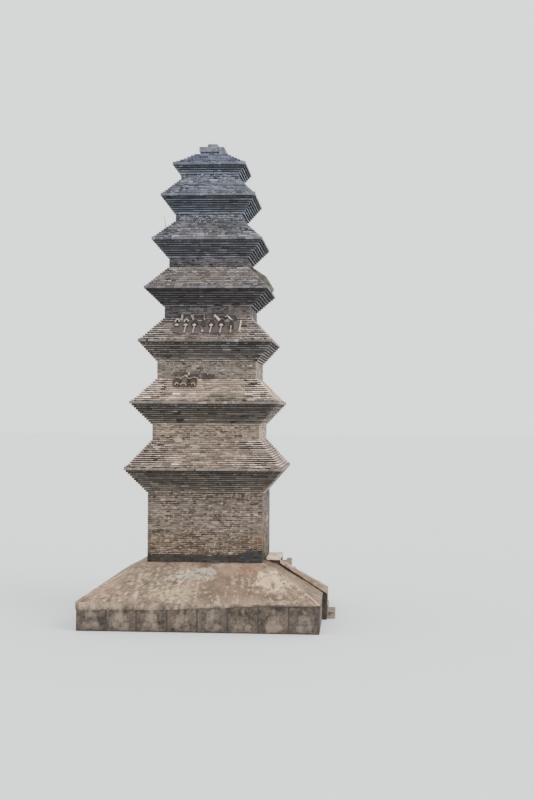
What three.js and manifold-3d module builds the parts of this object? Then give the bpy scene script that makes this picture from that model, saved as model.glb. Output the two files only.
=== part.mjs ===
// A seven-storey brick pagoda on a square stone podium, in millimetres, +Z up.
// The origin is at the middle of the podium's underside. The front face looks along -Y, and the
// face with the stair and the niche looks along +X.
import * as THREE from "three";
import Module from "manifold-3d";
import { mergeVertices } from "three/addons/utils/BufferGeometryUtils.js";

const wasm = await Module();
wasm.setup();

// Brickwork
const COURSE = 70;
const EAVE_COURSE = 90;

// Storeys from the lowest to the highest: full widths, and how many courses each piece has
const WALL_WIDTHS = [3930, 3680, 3410, 2980, 2720, 2330, 2020];
const EAVE_WIDTHS = [5360, 5060, 4580, 4240, 3810, 3270, 2540];
const WALL_COURSES = [34, 8, 9, 6, 5, 4, 3];
const CORBEL_COURSES = [11, 10, 9, 8, 8, 8, 4];
const ROOF_COURSES = [13, 11, 11, 10, 9, 8, 6];
const STOREYS = WALL_WIDTHS.length;

// Podium and the cement apron on top of it
const TOWER_BASE = 2080;
const FACING_OUTER = 4000;
const FACING_THICKNESS = 150;
const FACING_HEIGHT = 905;
const CORE_HALF = FACING_OUTER - FACING_THICKNESS;
const APRON_RIM_HALF = 4025;
const APRON_RIM_TOP = 965;
// Half widths and levels of the apron's slope, from the rim up to the tower
const APRON_SLOPE = [[3900, 1050], [3500, 1320], [2880, 1655], [2450, 1925]];

// Stair on the +X side
const STEPS = 8;
const LANDING_TOP = 2150;
const LANDING_NOSE = 2530;
const LANDING_THICKNESS = 90;
const TREAD = 240;
const STEP_LAP = 80;
const RISER = LANDING_TOP / (STEPS + 1);
const STAIR_HALF = 600;
const CHEEK_THICKNESS = 260;
const CHEEK_END = 4170;
const COPING_OVERHANG = 40;
const COPING_END = 4210;
const COPING_TOP_UPPER = 2057;
const COPING_TOP_LOWER = 1140;
const COPING_UNDER_UPPER = 1965;
const COPING_UNDER_LOWER = 890;
// Top line of the far cheek wall, and the piece of coping that is left on it
const FAR_CHEEK_UPPER = 1820;
const FAR_CHEEK_LOWER = 920;
const STUB_START = 2645;
const STUB_END = 2865;
const STUB_TOP = 1975;
const STUB_GAP = 0.3;
const CHEEK_OUTER = STAIR_HALF + CHEEK_THICKNESS;
const COPING_OUTER = CHEEK_OUTER + COPING_OVERHANG;

// Niche in the lowest storey's +X wall
const NICHE_HALF = 400;
const NICHE_DEPTH = 900;
const NICHE_COURSES = 17;
const JAMB_WIDTH = 200;
const FRAME_DEPTH = 260;
const FRAME_PROUD = 40;
const LINTEL_HALF = 700;
const LINTEL_COURSES = 3;
const NICHE_FLOOR = TOWER_BASE + COURSE;
const NICHE_TOP = NICHE_FLOOR + NICHE_COURSES * COURSE;
const LINTEL_TOP = NICHE_TOP + LINTEL_COURSES * COURSE;
const WALL_FACE = WALL_WIDTHS[0] / 2;
// The stair's slot starts a little in front of the wall, and the cement fills the gap
const STAIR_BACK = WALL_FACE + 90;

// The far right corner of the podium has sunk: its cover slopes down along a tilted plane
const SUNKEN_TOP = 1950;
const SUNKEN_FALL_X = 0.478;
const SUNKEN_FALL_Y = 0.1456;
const COVER_THICKNESS = 60;

// Finial stones
const FINIAL_HALF = 480;
const FINIAL_LEFT = -440;
const FINIAL_SPLIT = 245;
const FINIAL_RIGHT = 510;
const FINIAL_HEIGHT = 280;
const FINIAL_UNDERCUT = 80;
const FINIAL_GAP = 10;
const CAP_HALF = 190;
const CAP_HEIGHT = 160;

// Materials, one for each sub-part
function material(name, colour, roughness, metalness = 0) {
  const made = new THREE.MeshStandardMaterial({ color: colour, roughness, metalness });
  made.name = name;
  return made;
}
const brownBrick = () => material("brown_brick", 0x887a6d, 0.92);
const darkBrick = () => material("dark_brick", 0x554e48, 0.93);
const slateBrick = () => material("slate_brick", 0x74787f, 0.9);
const slateDarkBrick = () => material("slate_dark_brick", 0x4b4f57, 0.92);
const cement = () => material("cement", 0xb5a493, 0.9);
const rubble = () => material("rubble_core", 0x6f655b, 0.95);
const facingStone = () => material("facing_granite", 0x796e63, 0.88);
const stairStone = () => material("stair_granite", 0xa89a8a, 0.85);
const finialStone = () => material("finial_granite", 0x92939c, 0.85);
const roofTile = () => material("roof_tile", 0x4c4846, 0.8);
const rustyIron = () => material("rusty_iron", 0x4a3a31, 0.75, 0.6);

const pagoda = new THREE.Group();

function add(name, geometry, mat) {
  const mesh = new THREE.Mesh(geometry, mat);
  mesh.name = name;
  pagoda.add(mesh);
  return mesh;
}

// A solid from a closed geometry, with its shared points merged
function solid(geometry) {
  const bare = geometry.clone();
  bare.deleteAttribute("normal");
  bare.deleteAttribute("uv");
  const merged = mergeVertices(bare, 0.001);
  const points = merged.attributes.position.array;
  const corners = merged.index.array;
  const kept = [];
  for (let i = 0; i < corners.length; i += 3) {
    const [a, b, c] = [corners[i], corners[i + 1], corners[i + 2]];
    if (a !== b && b !== c && c !== a) kept.push(a, b, c);
  }
  return new wasm.Manifold(new wasm.Mesh({
    numProp: 3,
    vertProperties: new Float32Array(points),
    triVerts: new Uint32Array(kept),
  }));
}

function geometryOf(made) {
  const mesh = made.getMesh();
  const geometry = new THREE.BufferGeometry();
  geometry.setAttribute("position", new THREE.BufferAttribute(mesh.vertProperties, 3));
  geometry.setIndex(new THREE.BufferAttribute(mesh.triVerts, 1));
  const flat = geometry.toNonIndexed();
  flat.computeVertexNormals();
  return flat;
}

// A box from its lowest to its highest corner
function box(low, high) {
  const size = high.map((value, i) => value - low[i]);
  const geometry = new THREE.BoxGeometry(...size);
  geometry.translate(...low.map((value, i) => value + size[i] / 2));
  return geometry;
}

// A square stepped mass, from [half width, bottom, top] rows listed upwards
function steppedMass(courses) {
  let mass = null;
  for (const [half, bottom, top] of courses) {
    const course = solid(box([-half, -half, bottom], [half, half, top]));
    mass = mass ? mass.add(course) : course;
  }
  return mass;
}

// A prism whose outline is drawn on the X-Z plane and runs along Y
function prismAlongY(outline, low, high) {
  const shape = new THREE.Shape(outline.map(([x, z]) => new THREE.Vector2(x, z)));
  const geometry = new THREE.ExtrudeGeometry(shape, { depth: high - low, bevelEnabled: false });
  geometry.rotateX(Math.PI / 2);
  geometry.translate(0, high, 0);
  return geometry;
}

// A prism whose outline is drawn on the Y-Z plane and runs along X
function prismAlongX(outline, low, high) {
  const shape = new THREE.Shape(outline.map(([y, z]) => new THREE.Vector2(y, z)));
  const geometry = new THREE.ExtrudeGeometry(shape, { depth: high - low, bevelEnabled: false });
  geometry.rotateX(Math.PI / 2);
  geometry.rotateZ(Math.PI / 2);
  geometry.translate(low, 0, 0);
  return geometry;
}

// Storeys: each stands on the one below
function storeyLevels() {
  const levels = [];
  let wallBottom = TOWER_BASE;
  for (let k = 0; k < STOREYS; k += 1) {
    const wallTop = wallBottom + WALL_COURSES[k] * COURSE;
    const eaveBottom = wallTop + CORBEL_COURSES[k] * COURSE;
    const eaveTop = eaveBottom + EAVE_COURSE;
    const roofTop = eaveTop + ROOF_COURSES[k] * COURSE;
    levels.push({ wallBottom, wallTop, eaveBottom, eaveTop, roofTop });
    wallBottom = roofTop;
  }
  return levels;
}
const LEVELS = storeyLevels();
const ROOF_TOP = LEVELS[STOREYS - 1].roofTop;

function corbelMass(k) {
  const { wallTop, eaveBottom, eaveTop } = LEVELS[k];
  const wall = WALL_WIDTHS[k] / 2;
  const eave = EAVE_WIDTHS[k] / 2;
  const stepOut = (eave - wall) / (CORBEL_COURSES[k] + 1);
  const courses = [];
  for (let i = 0; i < CORBEL_COURSES[k]; i += 1) {
    const bottom = wallTop + i * COURSE;
    courses.push([wall + (i + 1) * stepOut, bottom, bottom + COURSE]);
  }
  courses.push([eave, eaveBottom, eaveTop]);
  return steppedMass(courses);
}

// Half width that a roof steps in to: the next storey's wall, or the finial
function roofEnd(k) {
  return k + 1 < STOREYS ? WALL_WIDTHS[k + 1] / 2 : FINIAL_HALF;
}

function roofStep(k) {
  return (EAVE_WIDTHS[k] / 2 - roofEnd(k)) / (ROOF_COURSES[k] + 1);
}

function roofMass(k) {
  const courses = [];
  for (let i = 0; i < ROOF_COURSES[k]; i += 1) {
    const bottom = LEVELS[k].eaveTop + i * COURSE;
    courses.push([EAVE_WIDTHS[k] / 2 - (i + 1) * roofStep(k), bottom, bottom + COURSE]);
  }
  return steppedMass(courses);
}

function wallMass(k) {
  const half = WALL_WIDTHS[k] / 2;
  const { wallBottom, wallTop } = LEVELS[k];
  return solid(box([-half, -half, wallBottom], [half, half, wallTop]));
}

function nicheHollow() {
  const back = WALL_FACE - FRAME_DEPTH;
  const front = WALL_FACE + FRAME_PROUD;
  const frameHalf = NICHE_HALF + JAMB_WIDTH;
  const chamber = solid(box([WALL_FACE - NICHE_DEPTH, -NICHE_HALF, NICHE_FLOOR],
    [front, NICHE_HALF, NICHE_TOP]));
  const jambs = solid(box([back, -frameHalf, TOWER_BASE], [front, frameHalf, NICHE_TOP]));
  const lintel = solid(box([back, -LINTEL_HALF, NICHE_TOP], [front, LINTEL_HALF, LINTEL_TOP]));
  return chamber.add(jambs).add(lintel);
}

const roofMasses = [];
const wallMasses = [];
for (let k = 0; k < STOREYS; k += 1) {
  const upper = k >= 4;
  const wallMat = upper ? slateBrick() : brownBrick();
  const corbelMat = upper ? slateDarkBrick() : darkBrick();
  const roofMat = upper ? slateBrick() : brownBrick();
  const walls = k === 0 ? wallMass(k).subtract(nicheHollow()) : wallMass(k);
  const roof = roofMass(k);
  add(`storey_${k + 1}_walls`, geometryOf(walls), wallMat);
  add(`storey_${k + 1}_corbels`, geometryOf(corbelMass(k)), corbelMat);
  add(`storey_${k + 1}_roof`, geometryOf(roof), roofMat);
  wallMasses.push(walls);
  roofMasses.push(roof);
}

// Granite frame of the niche
function addNicheFrame() {
  const back = WALL_FACE - FRAME_DEPTH;
  const front = WALL_FACE + FRAME_PROUD;
  const outer = NICHE_HALF + JAMB_WIDTH;
  add("niche_sill", box([back, -outer, TOWER_BASE], [WALL_FACE, outer, NICHE_FLOOR]), stairStone());
  add("niche_jamb_near", box([back, -outer, NICHE_FLOOR], [front, -NICHE_HALF, NICHE_TOP]),
    stairStone());
  add("niche_jamb_far", box([back, NICHE_HALF, NICHE_FLOOR], [front, outer, NICHE_TOP]),
    stairStone());
  add("niche_lintel", box([back, -LINTEL_HALF, NICHE_TOP], [front, LINTEL_HALF, LINTEL_TOP]),
    stairStone());
}
addNicheFrame();

// Stair: level and nose of each step, counted from the ground
function stepTop(i) {
  return i * RISER;
}

function stepNose(i) {
  return LANDING_NOSE + (STEPS + 1 - i) * TREAD;
}

// The back of step i, where its block reaches under the next step
function stepBack(i) {
  return stepNose(i + 1) - STEP_LAP;
}

// Outline of the masonry that stays under the steps and the landing
function stairFillOutline() {
  const outline = [[STAIR_BACK, 0]];
  for (let i = 1; i <= STEPS; i += 1) {
    outline.push([stepBack(i), stepTop(i - 1)], [stepBack(i), stepTop(i)]);
  }
  const landingUnder = LANDING_TOP - LANDING_THICKNESS;
  const fillNose = LANDING_NOSE - 30;
  outline.push([fillNose, stepTop(STEPS)], [fillNose, landingUnder], [STAIR_BACK, landingUnder]);
  return outline;
}

function stairSlot() {
  return solid(box([STAIR_BACK, -CHEEK_OUTER, -10], [COPING_END + 500, CHEEK_OUTER, LANDING_TOP]));
}

// The height at x on the straight line between two [x, z] points
function lineBetween([x1, z1], [x2, z2]) {
  return (x) => z1 + ((x - x1) * (z2 - z1)) / (x2 - x1);
}

// A wall beside the steps, up to a sloping line and to the underside of the landing
function cheekWall(line, low, high) {
  const landingUnder = LANDING_TOP - LANDING_THICKNESS;
  const outline = [
    [STAIR_BACK, 0], [CHEEK_END, 0], [CHEEK_END, line(CHEEK_END)],
    [LANDING_NOSE, line(LANDING_NOSE)], [LANDING_NOSE, landingUnder], [STAIR_BACK, landingUnder],
  ];
  return prismAlongY(outline, low, high);
}

function landingBox() {
  return box([STAIR_BACK, -COPING_OUTER, LANDING_TOP - LANDING_THICKNESS],
    [LANDING_NOSE, COPING_OUTER, LANDING_TOP]);
}

function addStair() {
  for (let i = 1; i <= STEPS; i += 1) {
    const low = [stepBack(i), -STAIR_HALF, stepTop(i - 1)];
    const high = [stepNose(i), STAIR_HALF, stepTop(i)];
    add(`stair_step_${i}`, box(low, high), stairStone());
  }
  add("landing_slab", landingBox(), stairStone());

  const nearLine = lineBetween([LANDING_NOSE, COPING_UNDER_UPPER], [COPING_END, COPING_UNDER_LOWER]);
  const farLine = lineBetween([LANDING_NOSE, FAR_CHEEK_UPPER], [CHEEK_END, FAR_CHEEK_LOWER]);
  add("stair_cheek_near", cheekWall(nearLine, -CHEEK_OUTER, -STAIR_HALF), stairStone());
  add("stair_cheek_far", cheekWall(farLine, STAIR_HALF, CHEEK_OUTER), stairStone());

  const coping = [
    [LANDING_NOSE, COPING_UNDER_UPPER], [COPING_END, COPING_UNDER_LOWER],
    [COPING_END, COPING_TOP_LOWER], [LANDING_NOSE, COPING_TOP_UPPER],
  ];
  add("stair_coping_near", prismAlongY(coping, -COPING_OUTER, -STAIR_HALF), stairStone());

  // The far coping is broken off, and one leaning piece of it is left
  const stub = [
    [STUB_START, farLine(STUB_START) + STUB_GAP], [STUB_END, farLine(STUB_END) + STUB_GAP],
    [STUB_END + 10, STUB_TOP - 20], [STUB_START + 60, STUB_TOP], [STUB_START, STUB_TOP - 110],
  ];
  add("stair_coping_far", prismAlongY(stub, STAIR_HALF, CHEEK_OUTER), stairStone());
}
addStair();

// What is missing above the sunken corner: everything above a tilted plane, moved by a drop
function aboveSunkenCorner(drop) {
  const reach = 6000;
  const slab = new THREE.BoxGeometry(3 * reach, 3 * reach, reach);
  slab.translate(0, 0, reach / 2);
  const normal = new THREE.Vector3(SUNKEN_FALL_X, SUNKEN_FALL_Y, 1).normalize();
  slab.applyQuaternion(new THREE.Quaternion().setFromUnitVectors(new THREE.Vector3(0, 0, 1), normal));
  slab.translate(WALL_FACE, CHEEK_OUTER, SUNKEN_TOP - drop);
  const corner = solid(box([WALL_FACE, CHEEK_OUTER, 0], [reach, reach, reach]));
  return solid(slab).intersect(corner);
}

// The block of the podium as far out as a half width, with its sunken corner
function podiumBlock(half) {
  const block = solid(box([-half, -half, 0], [half, half, FACING_HEIGHT]));
  return block.subtract(aboveSunkenCorner(COVER_THICKNESS));
}

// Podium: a rubble core with a pedestal under the tower, and dressed stone facing around it
function addPodium() {
  const pedestal = solid(box([-WALL_FACE, -WALL_FACE, FACING_HEIGHT],
    [WALL_FACE, WALL_FACE, TOWER_BASE]));
  const fill = solid(prismAlongY(stairFillOutline(), -STAIR_HALF, STAIR_HALF));
  const core = podiumBlock(CORE_HALF).add(pedestal).subtract(stairSlot()).add(fill);
  add("podium_core", geometryOf(core), rubble());

  const far = FACING_OUTER;
  const near = CORE_HALF;
  const rows = {
    front: [[-far, -far, 0], [far, -near, FACING_HEIGHT]],
    back: [[-far, near, 0], [far, far, FACING_HEIGHT]],
    left: [[-far, -near, 0], [-near, near, FACING_HEIGHT]],
    right_near: [[near, -near, 0], [far, -CHEEK_OUTER, FACING_HEIGHT]],
    right_far: [[near, CHEEK_OUTER, 0], [far, near, FACING_HEIGHT]],
  };
  const missing = aboveSunkenCorner(COVER_THICKNESS);
  for (const [side, [low, high]] of Object.entries(rows)) {
    const row = solid(box(low, high)).subtract(missing);
    add(`podium_facing_${side}`, geometryOf(row), facingStone());
  }
}
addPodium();

// Apron: the four-sided solid under its slope, less the podium, the pedestal and the stair
function addApron() {
  const corner = Math.SQRT2;
  const profile = [[0, 0], [APRON_RIM_HALF, 0], [APRON_RIM_HALF, APRON_RIM_TOP], ...APRON_SLOPE,
    [WALL_FACE, TOWER_BASE], [0, TOWER_BASE]];
  const points = profile.map(([half, z]) => new THREE.Vector2(half * corner, z));
  const geometry = new THREE.LatheGeometry(points, 4, Math.PI / 4);
  geometry.rotateX(Math.PI / 2);
  const below = solid(box([-APRON_RIM_HALF, -APRON_RIM_HALF, 0],
    [APRON_RIM_HALF, APRON_RIM_HALF, FACING_HEIGHT])).subtract(aboveSunkenCorner(COVER_THICKNESS));
  const pedestal = solid(box([-WALL_FACE, -WALL_FACE, 0], [WALL_FACE, WALL_FACE, LANDING_TOP]));
  const apron = solid(geometry)
    .subtract(aboveSunkenCorner(0))
    .subtract(below)
    .subtract(pedestal)
    .subtract(stairSlot())
    .subtract(solid(landingBox()));
  add("cement_apron", geometryOf(apron), cement());
}
addApron();

// Point on a roof's front slope: how far out (towards -Y) the nose line is at a level
function slopeOut(k, z) {
  const rise = z - LEVELS[k].eaveTop;
  return EAVE_WIDTHS[k] / 2 - (rise / COURSE) * roofStep(k);
}

// A bed of mortar and flat tiles on a roof's front slope, with its top against the wall above
function tileBed(k, from, to, low, foot, head, thickness) {
  const wall = WALL_WIDTHS[k + 1] / 2;
  const footOut = slopeOut(k, foot);
  const roofTop = LEVELS[k].roofTop;
  const crest = slopeOut(k, roofTop);
  const outline = [
    [-(footOut + thickness), foot], [-(wall - 100), foot], [-(wall - 100), head],
    [-(wall + 45), head], [-(crest + thickness), roofTop + low],
  ];
  return solid(prismAlongX(outline, from, to));
}

// A half-round ridge running up the slope at x, between two levels
function tileRidge(k, x, low, high, radius, sink) {
  const start = new THREE.Vector3(x, -slopeOut(k, low) + sink, low);
  const end = new THREE.Vector3(x, -slopeOut(k, high) + sink, high);
  const direction = end.clone().sub(start);
  const geometry = new THREE.CylinderGeometry(radius, radius, direction.length(), 16);
  const turn = new THREE.Quaternion().setFromUnitVectors(
    new THREE.Vector3(0, 1, 0), direction.clone().normalize());
  geometry.applyQuaternion(turn);
  geometry.translate(...start.add(end).multiplyScalar(0.5).toArray());
  return solid(geometry);
}

function restOn(mass, k) {
  return mass.subtract(roofMasses[k]).subtract(wallMasses[k + 1]);
}

// Positions of a row of like things
function row(start, pitch, count) {
  return Array.from({ length: count }, (_, i) => start + i * pitch);
}

// The left part of the bedding of the fourth roof's tiles, on the slope over the stair
function addRightRemnants() {
  const k = 3;
  const inside = WALL_WIDTHS[k + 1] / 2 - 100;
  const crest = LEVELS[k].roofTop + 160;
  const outline = [
    [inside, 11610], [2100, 11610], [2150, 11720], [1990, 11980], [inside + 100, crest],
    [inside, crest],
  ];
  const bed = solid(prismAlongY(outline, -900, 1200));
  add("tile_remnants_roof_4", geometryOf(restOn(bed, k)), roofTile());
}

function addTileRemnants() {
  const third = 2;
  const second = 1;
  let upper = tileBed(third, -1160, 1220, 40, 9890, 10600, 30);
  for (const x of row(-1030, 316, 8)) {
    upper = upper.add(tileRidge(third, x, 10230, 10430, 80, 0));
    upper = upper.add(tileRidge(third, x, 9950, 10240, 22, -20));
  }
  add("tile_remnants_roof_3", geometryOf(restOn(upper, third)), roofTile());

  let lower = tileBed(second, -1130, -260, 40, 8050, 8580, 30);
  for (const x of [-1000, -740, -424]) {
    lower = lower.add(tileRidge(second, x, 8080, 8410, 120, 0));
  }
  add("tile_remnants_roof_2", geometryOf(restOn(lower, second)), roofTile());

  const fragment = tileBed(second, -130, 290, 40, 8350, 8500, 30);
  add("tile_fragment_roof_2", geometryOf(restOn(fragment, second)), roofTile());
  addRightRemnants();
}
addTileRemnants();

// Finial: a wide undercut base stone, a narrow one on its right, and a small rounded cap
function roundedBlock(halfX, halfY, height, round) {
  const shape = new THREE.Shape();
  const x = halfX - round;
  const y = halfY - round;
  shape.moveTo(-x, -y);
  shape.lineTo(x, -y);
  shape.lineTo(x, y);
  shape.lineTo(-x, y);
  shape.closePath();
  const geometry = new THREE.ExtrudeGeometry(shape, {
    depth: height - 2 * round,
    bevelThickness: round,
    bevelSize: round,
    bevelSegments: 4,
  });
  geometry.translate(0, 0, round);
  return geometry;
}

function addFinial() {
  const leftEnd = FINIAL_SPLIT - FINIAL_GAP / 2;
  const halfWidth = (leftEnd - FINIAL_LEFT) / 2;
  const leftMiddle = leftEnd - halfWidth;
  const body = roundedBlock(halfWidth, FINIAL_HALF, FINIAL_HEIGHT - FINIAL_UNDERCUT, 30);
  body.translate(leftMiddle, 0, ROOF_TOP + FINIAL_UNDERCUT);
  const foot = box([leftMiddle - halfWidth + 60, -FINIAL_HALF + 70, ROOF_TOP],
    [leftMiddle + halfWidth - 40, FINIAL_HALF - 60, ROOF_TOP + FINIAL_HEIGHT / 2]);
  add("finial_base_left", geometryOf(solid(body).add(solid(foot))), finialStone());

  const rightStart = FINIAL_SPLIT + FINIAL_GAP / 2;
  const right = [
    [rightStart, 0], [FINIAL_RIGHT, 0], [FINIAL_RIGHT - 10, 110],
    [FINIAL_RIGHT - 45, FINIAL_HEIGHT - 50], [FINIAL_RIGHT - 80, FINIAL_HEIGHT - 10],
    [rightStart, FINIAL_HEIGHT - 5],
  ].map(([x, z]) => [x, ROOF_TOP + z]);
  add("finial_base_right", prismAlongY(right, -FINIAL_HALF + 10, FINIAL_HALF - 10), finialStone());

  const cap = roundedBlock(CAP_HALF, CAP_HALF, CAP_HEIGHT, 55);
  cap.translate(5, 0, ROOF_TOP + FINIAL_HEIGHT);
  add("finial_cap", cap, finialStone());
}
addFinial();

// A thin iron rod that leans out of the fifth roof's left slope
function addSpike() {
  const k = 4;
  const foot = new THREE.Vector3(-1500, -1180, 13480);
  const tip = new THREE.Vector3(-1560, -1200, 14040);
  const direction = tip.clone().sub(foot);
  const geometry = new THREE.CylinderGeometry(9, 11, direction.length(), 12);
  geometry.applyQuaternion(new THREE.Quaternion().setFromUnitVectors(
    new THREE.Vector3(0, 1, 0), direction.clone().normalize()));
  geometry.translate(...foot.add(tip).multiplyScalar(0.5).toArray());
  add("iron_spike", geometryOf(solid(geometry).subtract(roofMasses[k])), rustyIron());
}
addSpike();

export default pagoda;
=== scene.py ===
"""Looks of the seven-storey brick pagoda: its bricks, mortar, tiles, cement cover and carved slabs.

Everything is in metres, +Z up. The front looks along -Y and the stair is on the +X side.
"""

import math
from collections import namedtuple

import bpy
import numpy as np
from mathutils import Matrix, Vector, noise


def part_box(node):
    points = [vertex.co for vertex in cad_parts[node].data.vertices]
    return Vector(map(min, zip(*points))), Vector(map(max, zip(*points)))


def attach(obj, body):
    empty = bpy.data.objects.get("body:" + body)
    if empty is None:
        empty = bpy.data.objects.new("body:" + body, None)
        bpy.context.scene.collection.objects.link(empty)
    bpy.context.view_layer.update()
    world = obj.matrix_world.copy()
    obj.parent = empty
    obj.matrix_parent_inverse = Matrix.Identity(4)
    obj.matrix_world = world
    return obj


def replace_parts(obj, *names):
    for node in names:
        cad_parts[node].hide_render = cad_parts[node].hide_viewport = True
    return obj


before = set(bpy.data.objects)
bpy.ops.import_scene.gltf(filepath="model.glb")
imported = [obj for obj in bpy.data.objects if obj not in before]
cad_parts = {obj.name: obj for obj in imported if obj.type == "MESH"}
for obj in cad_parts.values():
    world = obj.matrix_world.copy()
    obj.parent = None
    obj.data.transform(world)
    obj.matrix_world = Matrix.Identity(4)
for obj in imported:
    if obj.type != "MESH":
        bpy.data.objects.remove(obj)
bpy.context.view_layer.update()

STOREYS = 7
SEED = 20
rng = np.random.default_rng(SEED)

# Brickwork
COURSE = 0.07
EAVE_COURSE = 0.09
BRICK_LENGTH = 0.28
BRICK_DEPTH = 0.14
PROUD = 0.008
# Parts of a storey: width of the upright joints, share of short brick ends, joint left under and over
# a brick, how much single bricks and whole courses differ, and the shares of pale and dark bricks
Laying = namedtuple("Laying", "joint short_share below above spread course_spread pale dark")
LAYING = {
    "wall": Laying(0.010, 0.75, 0.006, 0.007, 0.33, 0.09, 0.10, 0.10),
    "corbel": Laying(0.004, 0.4, -0.001, 0.013, 0.18, 0.17, 0.08, 0.05),
    "dentil": Laying(0.018, 0.9, -0.001, 0.013, 0.20, 0.08, 0.05, 0.15),
    "eave": Laying(0.004, 0.5, -0.001, 0.001, 0.15, 0.05, 0.1, 0.05),
    "roof": Laying(0.008, 0.65, 0.012, -0.001, 0.24, 0.13, 0.14, 0.12),
}
# How unequal the bricks' lengths are, how far they stand out or back, how far their fronts are worn in
# from their rims, how uneven and worn their points are, and which share is chipped, and how deep
LENGTH_ERROR = (-0.008, 0.016)
STAND_OUT = (-0.005, 0.006)
WORN_RIM = (0.004, 0.010)
UNEVEN = 0.0022
WEAR = 0.002
CHIPPED_SHARE = 0.012
CHIP_DEPTH = (0.004, 0.016)
# The lowest storey with slate grey bricks
SLATE_FROM = 5
TINY = 1e-6
# Extra joint under the roof bricks where rain has washed the mortar out, and where that starts and
# is complete, in shares of a roof's half width: in its low rows and in its high rows
WASHED_JOINT = 0.026
WASHED = {1: ((0.10, 0.45), (0.50, 0.75)), 2: ((0.62, 0.80), (0.62, 0.85)),
          3: ((0.55, 0.75), (0.55, 0.80))}
LOW_ROWS = 0.4

# The four sides, turned a quarter each time from the front
FRONT, RIGHT, BACK, LEFT = range(4)

# How much light a surface of the tower sends on for each unit of its own colour
LIT = 1.5
# The corbels hang in the shade of the courses above them, and slopes face the sky more than walls
LIT_UNDER_EAVE = 1.02
LIT_SLOPE = 1.75
# The tone curve as measured: its gain, and its powers for dark and for bright values
TONE_GAIN = 0.134
TONE_DARK = 0.835
TONE_BRIGHT = 1.5


def shown(*levels, lit=LIT):
    """Own colour of a surface that the studio's light turns into the given screen values."""
    shares = np.array(levels, float) / 255
    return TONE_GAIN * shares ** TONE_DARK / (1 - shares) ** TONE_BRIGHT / lit


def mixed(first, second, share):
    """Colours between two, with the share as a number or an array."""
    share = np.clip(np.asarray(share, float), 0, 1)[..., None]
    return np.asarray(first) * (1 - share) + np.asarray(second) * share


def ramp(value, low, high):
    """A smooth 0 to 1 share of where a value lies between two levels."""
    share = np.clip((np.asarray(value, float) - low) / (high - low), 0, 1)
    return share * share * (3 - 2 * share)


def hill(value, middle, half):
    """A smooth hill of height 1 around a middle."""
    return np.exp(-((value - middle) / half) ** 2)


def by_chance(spread, count):
    """A factor around 1 for each of a number of bricks."""
    return np.exp(rng.normal(0, spread, count))[:, None]


# Node materials

def add_node(tree, kind, inputs=None, **settings):
    node = tree.nodes.new(kind)
    for key, value in settings.items():
        setattr(node, key, value)
    for key, value in (inputs or {}).items():
        if isinstance(value, bpy.types.NodeSocket):
            tree.links.new(value, node.inputs[key])
        else:
            node.inputs[key].default_value = value
    return node


def object_place(tree):
    return add_node(tree, "ShaderNodeTexCoord").outputs["Object"]


def object_axes(tree):
    return add_node(tree, "ShaderNodeSeparateXYZ", {"Vector": object_place(tree)}).outputs


def maths(tree, operation, first, second=0.0):
    """What an operation makes of two sockets or numbers."""
    return add_node(tree, "ShaderNodeMath", {0: first, 1: second}, operation=operation).outputs[0]


def cut(tree, value, low, high, bottom=0.0, top=1.0):
    """Where a value lies between two levels, spread from bottom to top."""
    node = add_node(tree, "ShaderNodeMapRange", {
        "Value": value, "From Min": low, "From Max": high, "To Min": bottom, "To Max": top})
    return node.outputs["Result"]


def noise_share(tree, scale, low, high, detail=4.0, stretch=(1, 1, 1)):
    """A soft 0 to 1 share from a noise in the object's own space, cut between two levels."""
    scaled = add_node(tree, "ShaderNodeMapping", {"Vector": object_place(tree), "Scale": stretch})
    grain = add_node(tree, "ShaderNodeTexNoise", {
        "Vector": scaled.outputs["Vector"], "Scale": scale, "Detail": detail, "Roughness": 0.6})
    return cut(tree, grain.outputs["Fac"], low, high)


def blend(tree, share, first, second, mode="MIX"):
    node = add_node(tree, "ShaderNodeMix", data_type="RGBA", blend_type=mode)
    for socket, value in ((node.inputs[0], share), (node.inputs[6], first), (node.inputs[7], second)):
        if isinstance(value, bpy.types.NodeSocket):
            tree.links.new(value, socket)
        elif np.ndim(value):
            socket.default_value = (*[float(v) for v in value][:3], 1.0)
        else:
            socket.default_value = value
    return node.outputs[2]


def start_material(name):
    material = bpy.data.materials.new(name)
    material.use_nodes = True
    tree = material.node_tree
    tree.nodes.clear()
    output = add_node(tree, "ShaderNodeOutputMaterial")
    shader = add_node(tree, "ShaderNodeBsdfPrincipled")
    tree.links.new(shader.outputs["BSDF"], output.inputs["Surface"])
    return material, tree, shader


def speckled(tree, colour, scale, low, high, first, second):
    """A colour times a noise that wanders between two others."""
    share = noise_share(tree, scale, low, high)
    return blend(tree, 1.0, colour, blend(tree, share, first, second), "MULTIPLY")


def finish_material(tree, shader, colour, roughness=0.92, bump_scale=70.0, bump_depth=0.004):
    tree.links.new(colour, shader.inputs["Base Color"])
    shader.inputs["Roughness"].default_value = roughness
    shader.inputs["Specular IOR Level"].default_value = 0.25
    height = noise_share(tree, bump_scale, 0.25, 0.75, detail=6.0)
    bump = add_node(tree, "ShaderNodeBump", {
        "Height": height, "Distance": bump_depth, "Strength": 0.8})
    tree.links.new(bump.outputs["Normal"], shader.inputs["Normal"])


def tinted_material(name, roughness=0.9, grain=40.0, grain_dark=0.72, bump_depth=0.004):
    """A material whose colour is painted on the mesh, broken up by a grain and by faint stains."""
    material, tree, shader = start_material(name)
    tint = add_node(tree, "ShaderNodeAttribute", attribute_name="tint").outputs["Color"]
    colour = speckled(tree, tint, grain, 0.3, 0.7, (grain_dark,) * 3, (1.12,) * 3)
    colour = speckled(tree, colour, 2.2, 0.35, 0.7, (1.06, 1.05, 1.03), (0.84, 0.83, 0.83))
    finish_material(tree, shader, colour, roughness, grain * 1.5, bump_depth)
    return material


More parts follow.
